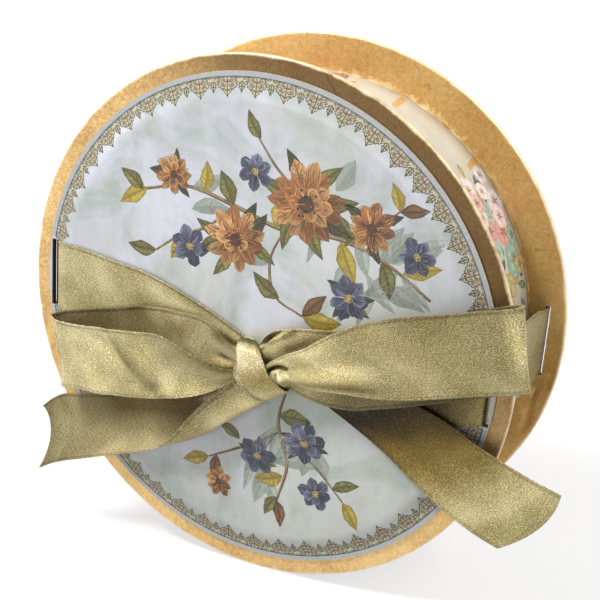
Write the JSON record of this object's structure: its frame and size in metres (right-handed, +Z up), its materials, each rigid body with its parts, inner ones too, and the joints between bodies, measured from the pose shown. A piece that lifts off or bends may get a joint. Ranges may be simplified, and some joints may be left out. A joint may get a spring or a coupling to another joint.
{
  "type": "ribbon tied round candy box",
  "caption": "Round drum box for sweets with wide disc boards, a lift-off padded picture lid and a satin ribbon tied in a bow over it",
  "frame": {"origin": "middle of the flat at the foot of the back board, where the box stands on the floor", "axes": "+Z up, -Y forward out of the lid along the box's axis, +X right as seen by someone who faces the lid"},
  "size_m": [0.277, 0.0991, 0.25],
  "materials": {
    "gold_board": "chipboard covered with pale gold metallic paper",
    "grey_board": "bare grey chipboard",
    "wrap_paper": "printed paper, satin",
    "lining_paper": "plain white lining paper",
    "picture_paper": "printed card with a soft gloss",
    "wadding": "white wadding",
    "ribbon_satin": "olive gold satin, one bright side and one matt side"
  },
  "bodies": {
    "base": {"back_board": "gold_board", "drum_wall": "grey_board", "drum_wrap": "wrap_paper", "wall_lining": "lining_paper", "base_lining": "lining_paper", "ribbon_back": "ribbon_satin", "ribbon_side_left": "ribbon_satin", "ribbon_side_right": "ribbon_satin"},
    "lid": {"lid_board": "gold_board", "lid_neck": "grey_board", "lid_lining": "lining_paper", "picture_pad": "wadding", "picture_card": "picture_paper", "ribbon_front_left": "ribbon_satin", "ribbon_front_right": "ribbon_satin", "bow_knot": "ribbon_satin", "bow_loop_left": "ribbon_satin", "bow_loop_right": "ribbon_satin", "bow_tail_left": "ribbon_satin", "bow_tail_right": "ribbon_satin"}
  },
  "joints": [
    {"name": "lid_lift", "type": "slide", "parent": "base", "child": "lid", "axis": [0, -1, 0], "range_m": [0, 0.12]}
  ]
}
